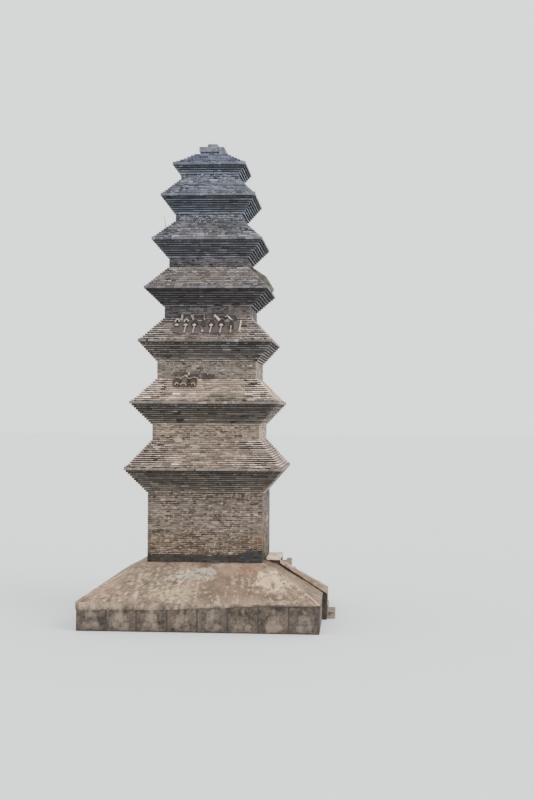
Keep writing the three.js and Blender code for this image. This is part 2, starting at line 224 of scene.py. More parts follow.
def mottled_material(name, dark, light, scale=6.0, stretch=(1, 1, 1)):
    """A material that wanders between two colours, for parts without painted colours."""
    material, tree, shader = start_material(name)
    patches = noise_share(tree, scale, 0.35, 0.65, stretch=stretch)
    colour = blend(tree, patches, dark, light)
    colour = speckled(tree, colour, scale * 12, 0.3, 0.7, (0.75,) * 3, (1.1,) * 3)
    finish_material(tree, shader, colour, 0.9, scale * 14)
    return material


# Meshes with painted colours

def add_object(name, data):
    """Puts a mesh, a camera or a lamp into the scene."""
    made = bpy.data.objects.new(name, data)
    bpy.context.scene.collection.objects.link(made)
    return made


def make_piece(name, points, faces, tints, material):
    """A shown piece from points, faces and one linear colour for each point."""
    mesh = bpy.data.meshes.new(name)
    if not isinstance(faces, list):
        faces = np.asarray(faces).tolist()
    mesh.from_pydata(np.asarray(points).tolist(), [], faces)
    layer = mesh.color_attributes.new("tint", "FLOAT_COLOR", "POINT")
    colours = np.ones((len(points), 4), np.float32)
    colours[:, :3] = tints
    layer.data.foreach_set("color", colours.ravel())
    mesh.materials.append(material)
    mesh.validate()
    mesh.update()
    piece = add_object(name, mesh)
    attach(piece, "root")
    return piece


class Batch:
    """Small shapes gathered into one piece."""

    def __init__(self):
        self.points, self.faces, self.tints = [], [], []
        self.count = 0

    def add(self, points, faces, tint):
        points = np.asarray(points, float).reshape(-1, 3)
        self.points.append(points)
        self.faces += [[int(i) + self.count for i in face] for face in faces]
        self.tints.append(np.broadcast_to(tint, (len(points), 3)))
        self.count += len(points)

    def make(self, name, material, slot):
        return make_piece(name, np.concatenate(self.points), self.faces,
                          np.concatenate(self.tints), material)


def together(*parts):
    """Points or colours from their parts, each of them a number or an array."""
    return np.stack(np.broadcast_arrays(*parts), axis=-1)


def turned(side, along, out, height):
    """Points of a side: along it from its left, out from the axis and up, in the frame's axes."""
    x, y = along, -out
    for _ in range(side):
        x, y = -y, x
    return together(x, y, height)


def turned_each(sides, along, out, height):
    """The same points where each row of places lies on a side of its own."""
    points = np.empty((*along.shape, 3))
    for side in range(4):
        chosen = sides == side
        points[chosen] = turned(side, along[chosen], out[chosen], height[chosen])
    return points


def grid_faces(rows, columns):
    """Quads of a grid of points listed row by row, for rows that go up and columns to the right."""
    corner = np.arange(rows * columns).reshape(rows, columns)
    low_left, low_right = corner[:-1, :-1], corner[:-1, 1:]
    high_left, high_right = corner[1:, :-1], corner[1:, 1:]
    return together(low_left, low_right, high_right, high_left).reshape(-1, 4)


def field(points, scale, seed=0.0, octaves=4):
    """A smooth noise of about -1 to 1 at each point."""
    places = np.asarray(points, float).reshape(-1, 3) * scale + np.array([seed, seed * 0.7, -seed])
    values = [noise.fractal(Vector(place), 1.0, 2.0, octaves) for place in places]
    return np.array(values).reshape(np.asarray(points).shape[:-1])


# Courses of each storey, read from the solids

def half_width(node):
    low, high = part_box(node)
    return (high[0] - low[0]) / 2


def roof_slope(number):
    """Level of a roof's foot and head, the eave's half width and how far each course steps in."""
    low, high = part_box(f"storey_{number}_roof")
    eave = half_width(f"storey_{number}_corbels")
    return low[2], high[2], eave, eave - half_width(f"storey_{number}_roof")


def storey_courses(number):
    """Courses of a storey: (part, level, height, half width, share of the way up its part)."""
    courses = []
    low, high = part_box(f"storey_{number}_walls")
    wall = half_width(f"storey_{number}_walls")
    count = round((high[2] - low[2]) / COURSE)
    for i in range(count):
        courses.append(("wall", low[2] + i * COURSE, COURSE, wall, i / count))

    low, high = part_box(f"storey_{number}_corbels")
    eave = half_width(f"storey_{number}_corbels")
    count = round((high[2] - low[2] - EAVE_COURSE) / COURSE)
    for i in range(count):
        reach = wall + (i + 1) * (eave - wall) / (count + 1)
        part = "dentil" if i == count - 1 else "corbel"
        courses.append((part, low[2] + i * COURSE, COURSE, reach, i / count))
    courses.append(("eave", high[2] - EAVE_COURSE, EAVE_COURSE, eave, 1.0))

    foot, head, eave, step = roof_slope(number)
    count = round((head - foot) / COURSE)
    for i in range(count):
        courses.append(("roof", foot + i * COURSE, COURSE, eave - (i + 1) * step, i / count))
    return courses


# Bricks

BRICK_FACES = np.array([
    (8, 9, 10, 11), (4, 5, 9, 8), (5, 6, 10, 9), (6, 7, 11, 10), (7, 4, 8, 11),
    (0, 1, 5, 4), (1, 2, 6, 5), (2, 3, 7, 6), (3, 0, 4, 7), (3, 2, 1, 0),
])

# Painted shade on a brick's points, at its lower and upper edge at the back, at the rim and in front:
# dark backs and undersides for the shade between courses, corbel fronts shaded at the top under the
# course above, and a painted highlight on the upper edges of eave and roof bricks
BRICK_PAINTED_SHADE = {
    "wall": ((0.7, 0.7), (0.8, 0.8), (1.0, 1.0)),
    "corbel": ((0.08, 0.15), (0.15, 0.3), (1.65, 0.40)),
    "dentil": ((0.08, 0.15), (0.15, 0.4), (1.5, 0.9)),
    "eave": ((0.08, 0.7), (0.15, 0.9), (0.8, 1.15)),
    "roof": ((0.25, 0.8), (0.3, 0.95), (0.55, 1.40)),
}


def brick_row(length, short_share):
    """Starts and ends of the bricks along a length, a mix of long and short faces."""
    sizes = []
    while sum(sizes) < length - BRICK_LENGTH * 0.75:
        whole = rng.random() > short_share
        sizes.append((BRICK_LENGTH if whole else BRICK_DEPTH) + rng.uniform(*LENGTH_ERROR))
    sizes = np.array(sizes) * (length / sum(sizes))
    ends = np.cumsum(sizes)
    return together(ends - sizes, ends)


def washed_share(number, reach, share):
    """How far rain has washed a roof out at a share of its half width and of its height."""
    if number not in WASHED:
        return 0 * reach
    return ramp(reach, *WASHED[number][0 if share < LOW_ROWS else 1])


def ring_bricks(number, course, odd, skip=None):
    """Bricks of one course: [side, start, end, bottom, top, out] rows in each side's own places."""
    part, level, height, half, share = course
    laying = LAYING[part]
    joint = laying.joint
    out = half + PROUD
    length = 2 * out - BRICK_DEPTH - joint
    start = -out + (BRICK_DEPTH + joint if odd else 0)
    bottom, top = level + laying.below, level + height - laying.above
    rows = []
    for side in range(4):
        for low, high in brick_row(length, laying.short_share) + start:
            first = low + (0 if low <= -out + TINY else joint / 2)
            last = high - (0 if high >= out - TINY else joint / 2)
            if skip is not None and skip(side, first, last):
                continue
            washed = 0.0
            if part == "roof":
                washed = WASHED_JOINT * washed_share(number, abs(low + high) / 2 / out, share)
                washed *= rng.uniform(0.7, 1.2)
            rows.append([side, first, last, bottom + washed, top, out])
    return np.array(rows)


def brick_points(rows, joint):
    """Twelve points of each brick, with a worn front that is a little smaller than its rim."""
    count = len(rows)
    side, start, end, bottom, top, out = rows.T
    out = out + rng.uniform(*STAND_OUT, count)
    edge = rng.uniform(*WORN_RIM, (count, 1))
    along = together(start, end, end, start)
    up = together(bottom, bottom, top, top)
    inward_along = np.array([1, -1, -1, 1]) * edge * min(1.0, joint / LAYING["wall"].joint)
    inward_up = np.array([1, 1, -1, -1]) * edge * 0.8
    jitter = rng.normal(0, UNEVEN, (3, count, 4))
    wear = np.abs(rng.normal(0, WEAR, (count, 4)))
    chipped = rng.random((count, 4)) < CHIPPED_SHARE
    wear[chipped] += rng.uniform(*CHIP_DEPTH, chipped.sum())
    layers = [
        (along, (out - BRICK_DEPTH)[:, None] + 0 * along, up),
        (along, (out[:, None] - edge) + 0 * along, up),
        (along + inward_along + jitter[0], out[:, None] - wear + jitter[1],
         up + inward_up + jitter[2] * 0.6),
    ]
    return turned_each(side, *(np.concatenate(parts, axis=1) for parts in zip(*layers)))


# Screen colours of each storey's bricks: wall, corbels next to the wall, corbels under the eave (darker
# with painted shade), eave and roof
PARTS = ("wall", "corbel_low", "corbel_high", "eave", "roof")
BRICK_COLOURS = {
    1: ((122, 109, 97), (92, 82, 72), (70, 63, 55), (146, 135, 125), (158, 145, 133)),
    2: ((141, 127, 113), (104, 95, 85), (80, 73, 65), (142, 132, 122), (179, 167, 156)),
    3: ((126, 117, 106), (106, 98, 92), (82, 76, 72), (132, 124, 118), (146, 135, 128)),
    4: ((78, 73, 73), (65, 62, 65), (49, 47, 50), (126, 121, 123), (142, 135, 132)),
    5: ((81, 78, 82), (84, 85, 92), (62, 63, 70), (122, 122, 128), (128, 127, 132)),
    6: ((90, 92, 100), (86, 90, 99), (66, 70, 79), (124, 127, 135), (126, 130, 139)),
    7: ((98, 103, 113), (88, 93, 104), (71, 77, 88), (118, 125, 138), (113, 119, 134)),
}
# How much more the walls' bricks of the three highest storeys differ, and how dark the course under
# each eave is painted as the eave's shadow
HIGH_SPREAD = 1.05
DENTIL_PAINTED_SHADOW = 0.75
# How bright a pale, a dark and a washed roof brick is for an ordinary one
PALE_BRICK = 1.4
DARK_BRICK = 0.65
WASHED_PALE = (1.6, 2.4)
# How much brighter the smooth walls, and the corbels and roofs, on the stair's side are: painted light
# from that side, and on the walls also their paler bricks
RIGHT_WALL_PALE_AND_LIT = {1: 1.0, 2: 2.3, 3: 2.0, 4: 2.2}
RIGHT_SIDE_PAINTED_LIGHT = 1.45
# Painted shade of the upper edge of the corbels' bricks on that side, where light falls more evenly
RIGHT_CORBEL_TOP_PAINTED_SHADE = 1.1
# Screen colour of the dirt on the low rows of the second roof, and where it starts and ends
ROOF_DIRT = (112, 107, 97)
DIRT_FROM, DIRT_TO = (-0.2, 0.3), (1.7, 1.4)


def base_colour(number, part):
    lit = LIT_UNDER_EAVE if part.startswith("corbel") else LIT
    return shown(*BRICK_COLOURS[number][PARTS.index(part)], lit=lit)


def course_colour(number, course):
    """Colour of one course: corbels darken towards the eave with painted shade, the lowest one is pale.
    """
    part, share = course[0], course[4]
    if part not in ("corbel", "dentil"):
        return base_colour(number, part)
    colour = mixed(base_colour(number, "corbel_low"), base_colour(number, "corbel_high"), share ** 0.6)
    if share == 0:
        return colour * 1.5
    # The course under the eave is darkened as a painted shadow of the eave
    return colour * DENTIL_PAINTED_SHADOW if part == "dentil" else colour


def brick_tints(rows, number, course):
    """One linear colour for each brick: the course's colour with bricks that differ by chance."""
    part, share = course[0], course[4]
    laying = LAYING[part]
    count = len(rows)
    side, start, end, bottom, _, out = rows.T
    middle = (start + end) / 2
    places = turned_each(side, middle, out, bottom)
    spread = laying.spread * (HIGH_SPREAD if number >= SLATE_FROM and part == "wall" else 1)
    value = np.exp(rng.normal(0, spread, count) + rng.normal(0, laying.course_spread))
    value *= 1 + 0.16 * field(places, 0.8, 2) + 0.14 * field(places, 2.6, 6, 3)
    tints = course_colour(number, course) * value[:, None]
    warmth = rng.normal(0, 0.03, count) + (0.03 if part == "roof" else 0.06) * field(places, 0.6, 9)
    tints = tints * together(1 + warmth, 1, 1 - warmth)
    tints[rng.random(count) < laying.pale] *= PALE_BRICK
    tints[rng.random(count) < laying.dark] *= DARK_BRICK
    if part == "roof":
        ends = washed_share(number, np.abs(middle) / out + rng.normal(-0.05, 0.05, count), share)
        pale = 0.80 * tints + 0.20 * tints.mean(axis=1, keepdims=True)
        tints = mixed(tints, pale * rng.uniform(*WASHED_PALE), ends)
        if number == 2:
            across = places[:, 0]
            dirt = ramp(across, *DIRT_FROM) * ramp(across, *DIRT_TO) * ramp(share, 0.35, 0.2)
            tints = mixed(tints, shown(*ROOF_DIRT) * value[:, None], 0.8 * dirt)
    # Painted light on the stair's side, and paler bricks on its walls
    tints[side == RIGHT] *= right_pale_and_lit(number, part)
    return wall_zones(number, places, tints, side == FRONT) if part == "wall" else tints


def wall_zones(number, places, tints, front):
    """What changes along a wall: the fourth is pale at its right end, the fifth has a run of lime."""
    if number == 1:
        return first_wall_zones(places, tints)
    if number == 4:
        pale_end = ramp(places[:, 0], 0.5, 1.0) * front
        return tints * mixed((1.0, 1.0, 1.0), (2.1, 1.95, 1.75), pale_end)
    if number == 5:
        lime_run = hill(places[:, 0], -0.03, 0.14) * front
        return tints * (1 + 1.6 * lime_run * rng.random(len(tints)))[:, None]
    return tints


# The dark band at the foot of the lowest wall: its height, and its height near the front right
# corner, which it reaches between two places along the front
SOOT_LOW = 0.24
SOOT_HIGH = 0.42
SOOT_FROM, SOOT_TO = 1.05, 1.50


def first_wall_zones(places, tints):
    """The lowest wall: dark at the foot, brown and orange near the corner, brown low, grey on top."""
    across = np.minimum(places[:, 0], -places[:, 1])
    rise = places[:, 2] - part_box("storey_1_walls")[0][2]
    count = len(places)
    tints = tints * mixed((1.0, 1.0, 1.0), (0.87, 0.79, 0.67), ramp(rise, 1.5, 0.5))
    around = hill(across, 1.45, 0.60) * hill(rise, 0.55, 0.36)
    dark_brown = shown(92, 72, 56) * by_chance(0.25, count)
    tints = mixed(tints, dark_brown, 0.9 * around * rng.uniform(0.1, 1.1, count))
    near_corner = hill(across, 1.80, 0.22) * hill(rise, 0.62, 0.16)
    orange = shown(141, 103, 68) * by_chance(0.2, count)
    tints = mixed(tints, orange, near_corner * rng.uniform(0.2, 1.2, count))
    corner = ramp(across, SOOT_FROM, SOOT_TO)
    height = SOOT_LOW + (SOOT_HIGH - SOOT_LOW) * corner + rng.normal(0, 0.03, count)
    slate = mixed(shown(58, 52, 46), shown(43, 45, 49), corner) * by_chance(0.28, count)
    tints = mixed(tints, slate, 0.92 * ramp(height - rise, -0.05, 0.03))
    dim = 1 - 0.28 * ramp(rise, 1.6, 2.3)
    return tints * dim[:, None]


def niche_skip(level, height):
    """Tells which bricks of a course would lie over the niche's frame."""
    lintel_low, lintel_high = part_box("niche_lintel")
    jamb_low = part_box("niche_jamb_near")[0]
    middle = level + height / 2
    if middle > lintel_high[2]:
        return None
    half = -lintel_low[1] if middle > lintel_low[2] else -jamb_low[1]
    return lambda side, first, last: side == RIGHT and last > -half and first < half


BRICK_SLOTS = {"wall": ("brown_brick", "slate_brick"), "roof": ("brown_brick", "slate_brick"),
               "corbel": ("dark_brick", "slate_dark_brick")}


def brick_slot(group, number):
    return BRICK_SLOTS[group][number >= SLATE_FROM]


def right_pale_and_lit(number, part):
    """How much brighter the stair's side is: painted light, and paler bricks on its walls."""
    if part == "wall":
        return RIGHT_WALL_PALE_AND_LIT.get(number, 1.1)
    return RIGHT_SIDE_PAINTED_LIGHT if part != "roof" or number <= 3 else 1.0


def painted_brick_shade(rows, part, right):
    """Painted shade of each brick's points; a corner's end takes the next side's painted light."""
    painted_shades = np.tile(np.repeat(BRICK_PAINTED_SHADE[part], 2, axis=1).ravel(), (len(rows), 1))
    side, first, last, out = rows[:, 0], rows[:, 1], rows[:, 2], rows[:, 5]
    lower, upper = BRICK_PAINTED_SHADE[part][2]
    for corner, low_points, high_points, seen_from_right in (
            (first <= -out + TINY, [0, 4], [3, 7], BACK), (last >= out - TINY, [1, 5], [2, 6], FRONT)):
        share = np.where(side == RIGHT, 1 / right, np.where(side == seen_from_right, right, 1.0))
        painted_shades[np.ix_(corner, low_points)] = lower * share[corner, None]
        painted_shades[np.ix_(corner, high_points)] = upper * share[corner, None]
    if part == "corbel":
        painted_shades[np.ix_(side == RIGHT, [10, 11])] = RIGHT_CORBEL_TOP_PAINTED_SHADE
    return painted_shades


def make_bricks(name, points, tints, material):
    """One piece of many bricks, from the twelve points of each and their colours."""
    faces = (BRICK_FACES + 12 * np.arange(len(points))[:, None, None]).reshape(-1, 4)
    make_piece(name, points.reshape(-1, 3), faces, tints.reshape(-1, 3), material)


def lay_bricks(material):
    """The bricks of every storey, one piece for its walls, one for its corbels, one for its roof."""
    for number in range(1, STOREYS + 1):
        gathered = {group: ([], []) for group in BRICK_SLOTS}
        for i, course in enumerate(storey_courses(number)):
            part, level, height = course[:3]
            skip = niche_skip(level, height) if number == 1 and part == "wall" else None
            rows = ring_bricks(number, course, i % 2 == 1, skip)
            painted_shades = painted_brick_shade(rows, part, right_pale_and_lit(number, part))
            points, tints = gathered["corbel" if part in ("eave", "dentil") else part]
            tints.append(brick_tints(rows, number, course)[:, None, :] * painted_shades[..., None])
            points.append(brick_points(rows, LAYING[part].joint))
        for group, (points, tints) in gathered.items():
            make_bricks(f"storey_{number}_{group}_bricks", np.concatenate(points),
                        np.concatenate(tints), material)


def lay_eave_rubble(material):
    """Broken brick and mortar that lies along the top edge of each eave."""
    for number in range(1, STOREYS + 1):
        foot, _, eave, _ = roof_slope(number)
        rows = []
        for side in range(4):
            place = -eave
            while place < eave - 0.1:
                length = rng.uniform(0.05, 0.22)
                height = rng.uniform(0.008, 0.030)
                rows.append([side, place, place + length, foot - 0.004, foot + height,
                             eave - rng.uniform(-0.004, 0.03)])
                place += length + rng.exponential(0.10)
        rows = np.array(rows)
        points = brick_points(rows, LAYING["wall"].joint)
        tints = base_colour(number, "eave") * np.exp(rng.normal(0.3, 0.4, len(rows)))[:, None]
        make_bricks(f"storey_{number}_eave_rubble", points, np.repeat(tints, 12, axis=0), material)


# Mortar and dirt that lie on the steps of the roofs: share of the steps that is covered, longest
# run, dark and light colour
ROOF_FILL = {
    1: (0.50, 0.50, (122, 110, 99), (176, 162, 148)),
    2: (0.50, 0.50, (130, 117, 104), (186, 172, 154)),
    3: (0.45, 0.40, (106, 95, 90), (160, 148, 140)),
    4: (0.70, 0.20, (80, 74, 71), (172, 165, 154)),
    5: (0.70, 0.20, (76, 74, 78), (166, 166, 168)),
    6: (0.70, 0.20, (78, 81, 89), (164, 168, 176)),
    7: (0.70, 0.20, (76, 83, 97), (142, 150, 164)),
}
# Faces of a run of mortar, which has three sections of three points each
FILLET_FACES = [(0, 1, 4, 3), (1, 2, 5, 4), (2, 0, 3, 5), (3, 4, 7, 6), (4, 5, 8, 7), (5, 3, 6, 8),
                (0, 2, 1), (6, 7, 8)]


def fillet_points(side, start, end, face, level, depth, height):
    """A run of mortar in the angle between a step and the brick above it, thin at its ends."""
    places = np.array([start, start + (end - start) * rng.uniform(0.3, 0.7), end])
    size = np.array([0.35, 1.0, 0.35]) * rng.uniform(0.7, 1.3, 3)
    along = np.repeat(places, 3)
    out = face - 0.004 + np.outer(size, [0, depth, 0]).ravel()
    up = level - 0.002 + np.outer(size, [0, 0, height]).ravel()
    return turned(side, along, out, up)


def lay_roof_mortar(material):
    """Runs of mortar and dirt on each roof's steps, many in the middle and few at the corners."""
    for number, (cover, longest, dark, light) in ROOF_FILL.items():
        foot, head, eave, step = roof_slope(number)
        batch = Batch()
        count = round((head - foot) / COURSE)
        for i in range(1, count):
            level = foot + i * COURSE
            face = eave - (i + 1) * step + PROUD
            for side in range(4):
                place = -face + rng.uniform(0, 0.2)
                while place < face - 0.08:
                    length = min(rng.uniform(0.06, longest), face - 0.02 - place)
                    centre = 1 - washed_share(number, abs(place + length / 2) / face, i / count)
                    repair = number == 3 and side == FRONT and 0.95 < place < 1.6 and i < 8
                    if rng.random() < (0.7 if repair else 0.06 + cover * centre):
                        depth = rng.uniform(0.2, 0.9) * step
                        height = rng.uniform(0.15, 0.75) * COURSE * (0.4 + 0.6 * centre)
                        points = fillet_points(side, place, place + length, face, level, depth, height)
                        tone = mixed(shown(*dark), shown(*light), rng.uniform(0, 1))
                        warmth = rng.normal(0, 0.12 if number == 4 else 0.04)
                        tone = shown(196, 186, 160) if repair else tone * (1 + warmth, 1, 1 - warmth)
                        batch.add(points, FILLET_FACES, tone)
                    place += length + rng.exponential(0.05)
        batch.make(f"storey_{number}_roof_mortar", material, brick_slot("roof", number))


# Broken tiles and lime on the front slopes

LIME = (194, 188, 182)
OLD_LIME = (170, 167, 156)
MORTAR_LINE = (168, 158, 149)
TILE = (66, 60, 56)
TILE_EDGE = (124, 116, 110)
TILE_BED = (112, 101, 94)
BED_EDGE = (146, 136, 129)


class TileRow:
    """What is left of a row of tiles, put on a roof's front slope and drawn as seen from the front."""

    def __init__(self, number):
        self.foot, _, self.eave, step = roof_slope(number)
        self.lean = step / COURSE
        self.wall = half_width(f"storey_{number + 1}_walls")
        self.node = f"tile_remnants_roof_{number}"
        self.low, self.high = (np.array(corner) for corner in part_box(self.node))
        self.batch = Batch()

    def plate(self, outline, start, end, colour, spread=0.08):
        """A piece with an outline of [x, height over the row's foot], standing out of the slope."""
        outline = np.asarray(outline, float)
        count = len(outline)
        level = self.low[2] + outline[:, 1]
        out = np.maximum(self.eave - (level - self.foot) * self.lean, self.wall)
        layers = [turned(FRONT, outline[:, 0], out + reach, level) for reach in (start, end)]
        points = np.clip(np.concatenate(layers), self.low, self.high)
        sides = [(i, (i + 1) % count, count + (i + 1) % count, count + i) for i in range(count)]
        caps = [tuple(reversed(range(count))), tuple(range(count, 2 * count))]
        tint = shown(*colour, lit=LIT_SLOPE) * math.exp(rng.normal(0, spread))
        self.batch.add(points, sides + caps, tint)

    def make(self, name, material):
        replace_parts(self.batch.make(name, material, "roof_tile"), self.node)


def arch(x, height, across, tall, start=0.0, end=math.pi, count=11):
    """Points of an arch around a middle, from its right foot over its top to its left foot."""
    angles = np.linspace(start, end, count)
    return together(x + across * np.cos(angles), height + tall * np.sin(angles))


def ribbon(path, widths):
    """Outline of a band along a path of points, with one width or a width for each point."""
    path = np.asarray(path, float)
    ahead = np.gradient(path, axis=0)
    aside = together(-ahead[:, 1], ahead[:, 0]) / np.hypot(*ahead.T)[:, None]
    reach = aside * np.broadcast_to(widths, len(path))[:, None] / 2
    return np.concatenate([path + reach, (path - reach)[::-1]])


def uneven_band(left, right, bottom, top, rough=0.012, count=16):
    """Outline of a wide piece whose lower and upper edges are broken."""
    along = np.linspace(left, right, count)
    lower = bottom + rough * rng.normal(0, 1, count)
    upper = top + rough * rng.normal(0, 1, count)
    return np.concatenate([together(along, lower), together(along, upper)[::-1]])


def add_tile_end(row, x, kind):
    """One tile end on the third roof: its dark hollow, its rim, the lime plug and the lime stem."""
    spring, plug, stem_top, stem_foot = 0.43, 0.335, 0.30, 0.05
    if kind == "small":
        row.plate(arch(x, spring - 0.02, 0.085, 0.13), 0.02, 0.05, TILE)
        row.plate(ribbon(arch(x, spring, 0.068, 0.100, 0.1, 3.2), 0.030), 0.05, 0.09, LIME)
    if kind == "round":
        row.plate(arch(x, plug - 0.01, 0.125, 0.21), 0.02, 0.06, TILE)
        row.plate(ribbon(arch(x, plug, 0.122, 0.205, 0.3, 2.8), 0.020), 0.06, 0.08, TILE_EDGE)
    if kind == "tall":
        row.plate(arch(x, 0.20, 0.090, 0.30), 0.02, 0.07, TILE)
        row.plate(ribbon(arch(x, 0.20, 0.095, 0.31, 0.4, 2.9), 0.018), 0.07, 0.085, TILE_EDGE)
    if kind == "broken":
        row.plate(arch(x, 0.32, 0.085, 0.17, -0.3, math.pi + 0.3), 0.02, 0.06, (84, 76, 71))
        row.plate(ribbon([(x - 0.09, 0.28), (x - 0.02, 0.18), (x + 0.03, 0.09)], 0.05), 0.03, 0.07,
                  TILE_EDGE)
        row.plate([(x - 0.03, 0.16), (x - 0.04, 0.085), (x + 0.06, 0.08)], 0.05, 0.09, LIME)
        return
    if kind in ("small", "round"):
        row.plate(ribbon(arch(x, plug - 0.08, 0.075, 0.06), 0.03), 0.03, 0.06, (56, 50, 46))
        row.plate(arch(x - 0.005, plug - 0.025, 0.058, 0.052, -0.35, math.pi + 0.35), 0.05, 0.10, LIME)
    if x > row.low[0] + 0.3:
        lean = 0.0 if kind == "tall" else 0.035
        path = [(x, stem_top), (x - lean * 0.5, (stem_top + stem_foot) / 2), (x - lean, stem_foot)]
        row.plate(ribbon(path, [0.038, 0.028, 0.046]), 0.02, 0.08, (186, 178, 170), 0.06)


def add_roof_3_tiles(material):
    """A row of round tile ends with lime plugs and stems, under broken prongs of lime."""
    row = TileRow(3)
    row.plate(uneven_band(-1.12, 0.98, 0.035, 0.50, 0.016), -0.03, 0.02, TILE_BED)
    row.plate(uneven_band(0.96, 1.20, 0.15, 0.46, 0.012, 7), -0.03, 0.02, (126, 114, 106))
    # A painted shadow line along the foot of the tile bed
    row.plate(uneven_band(-1.10, 0.95, 0.015, 0.040, 0.006), -0.02, 0.03, (60, 54, 50))
    for x, kind in ((-1.01, "small"), (-0.70, "small"), (-0.40, "round"), (-0.105, "broken"),
                    (0.183, "round"), (0.53, "round"), (0.862, "tall")):
        add_tile_end(row, x, kind)
    # The pale frame around the last stem, thin pale edges of the bed and lime between the tile ends
    strips = [
        ([(1.19, 0.50), (1.18, 0.30), (1.165, 0.12)], (0.055, 0.045, 0.055), 0.0, 0.07, LIME),
        ([(0.985, 0.48), (0.98, 0.14), (1.15, 0.12)], 0.018, 0.0, 0.04, (160, 150, 143)),
        ([(-0.48, 0.695), (-0.30, 0.70), (-0.11, 0.695)], 0.018, 0.0, 0.05, BED_EDGE),
        ([(-1.10, 0.27), (-1.09, 0.12), (-1.02, 0.05)], 0.018, 0.0, 0.05, BED_EDGE),
        ([(-0.95, 0.045), (-0.55, 0.030), (-0.10, 0.040)], 0.018, 0.0, 0.05, BED_EDGE),
        ([(-0.36, 0.51), (-0.27, 0.485), (-0.17, 0.475)], 0.034, 0.02, 0.05, OLD_LIME),
        ([(-0.93, 0.45), (-0.85, 0.42), (-0.77, 0.44)], 0.030, 0.02, 0.05, (140, 132, 122)),
    ]
    for path, widths, start, end, colour in strips:
        row.plate(ribbon(path, widths), start, end, colour)
    row.plate(uneven_band(0.64, 0.79, 0.43, 0.53, 0.01, 5), 0.02, 0.05, (150, 145, 138))
    # Broken prongs that stand against the wall above
    row.plate(uneven_band(0.80, 1.03, 0.50, 0.67, 0.012, 6), -0.02, 0.04, (84, 80, 80))
    row.plate(arch(0.67, 0.575, 0.09, 0.05, -0.6, math.pi + 0.6), -0.02, 0.05, TILE)
    prongs = [
        ([(-0.868, 0.705), (-0.868, 0.60), (-0.895, 0.49)], (0.050, 0.075, 0.110), OLD_LIME),
        ([(-0.565, 0.705), (-0.545, 0.64), (-0.52, 0.60)], (0.035, 0.050, 0.065), OLD_LIME),
        ([(-0.475, 0.705), (-0.51, 0.64), (-0.50, 0.58), (-0.45, 0.49)], (0.030, 0.055, 0.060, 0.060),
         OLD_LIME),
        ([(-0.104, 0.705), (-0.102, 0.60), (-0.07, 0.50)], (0.020, 0.026, 0.050), (166, 160, 152)),
        ([(0.25, 0.705), (0.33, 0.62), (0.44, 0.50)], (0.025, 0.065, 0.085), LIME),
        ([(0.22, 0.62), (0.33, 0.645)], 0.045, (176, 170, 162)),
        ([(0.718, 0.705), (0.63, 0.61)], (0.055, 0.040), OLD_LIME),
        ([(0.725, 0.65), (0.80, 0.57), (0.90, 0.49)], (0.050, 0.050, 0.035), LIME),
        ([(1.00, 0.69), (1.04, 0.62), (1.07, 0.53)], 0.022, (150, 146, 140)),
    ]
    for path, widths, colour in prongs:
        row.plate(ribbon(path, widths), 0.0, 0.07, colour)
    row.make("roof_3_tile_pieces", material)


def add_lobe(row, x, top, colour):
    """One thick round tile end on the second roof with its dark rim."""
    foot, half = 0.05, 0.115
    crown = arch(x, top - half, half, half)
    row.plate(np.concatenate([crown, [(x - half, foot), (x + half, foot)]]), 0.0, 0.05, colour)
    path = np.concatenate([[(x + half, foot + 0.03)], crown, [(x - half, foot + 0.09)]])
    row.plate(ribbon(path, 0.026), 0.05, 0.085, (82, 72, 64))


def add_roof_2_tiles(material):
    """Three thick round tile ends with lime in them, under two broken flat tiles."""
    row = TileRow(2)
    row.plate(uneven_band(-1.06, -0.34, 0.05, 0.28, 0.02), -0.03, 0.0, (116, 104, 94))
    for x, top, colour in ((-1.0, 0.33, (114, 101, 92)), (-0.735, 0.385, (126, 111, 103)),
                           (-0.425, 0.34, (108, 97, 86))):
        add_lobe(row, x, top, colour)
    row.plate(ribbon([(-1.04, 0.045), (-0.70, 0.02), (-0.34, 0.04)], 0.024), 0.0, 0.08, (80, 71, 61))
    lime = [
        (arch(-0.99, 0.09, 0.055, 0.075, 0.3), 0.036),
        ([(-0.88, 0.10), (-0.77, 0.16), (-0.69, 0.14), (-0.65, 0.07)], 0.040),
        (arch(-0.42, 0.08, 0.070, 0.085, -0.2, 2.6), 0.034),
    ]
    for path, width in lime:
        row.plate(ribbon(path, width), 0.05, 0.11, (176, 165, 153))
    crest = [(-1.11, 0.28), (-0.99, 0.36), (-0.90, 0.29), (-0.75, 0.42), (-0.66, 0.36), (-0.575, 0.31),
             (-0.41, 0.37), (-0.285, 0.33)]
    row.plate(ribbon(crest, 0.034), 0.03, 0.08, MORTAR_LINE)
    row.plate(arch(-0.70, 0.40, 0.065, 0.050, -0.8, math.pi + 0.8), 0.02, 0.07, (192, 182, 172))
    # The flat tiles above, each with a darker lower edge
    row.plate(uneven_band(-1.12, -0.765, 0.44, 0.527, 0.006, 6), -0.02, 0.06, (94, 86, 79))
    row.plate(ribbon([(-0.78, 0.44), (-0.725, 0.50), (-0.655, 0.46)], 0.045), 0.0, 0.06, (88, 80, 76))
    row.plate(ribbon([(-0.605, 0.53), (-0.60, 0.49), (-0.59, 0.44)], 0.045), 0.0, 0.07, LIME)
    for bottom, top, reach, colour in (
            (0.34, 0.40, 0.05, (114, 104, 97)), (0.39, 0.485, 0.07, (86, 78, 75)),
            (0.48, 0.528, 0.06, (136, 129, 130))):
        row.plate(uneven_band(-0.565, -0.262, bottom, top, 0.004, 6), -0.02, reach, colour)
    row.make("roof_2_tile_pieces", material)


# Cement cover

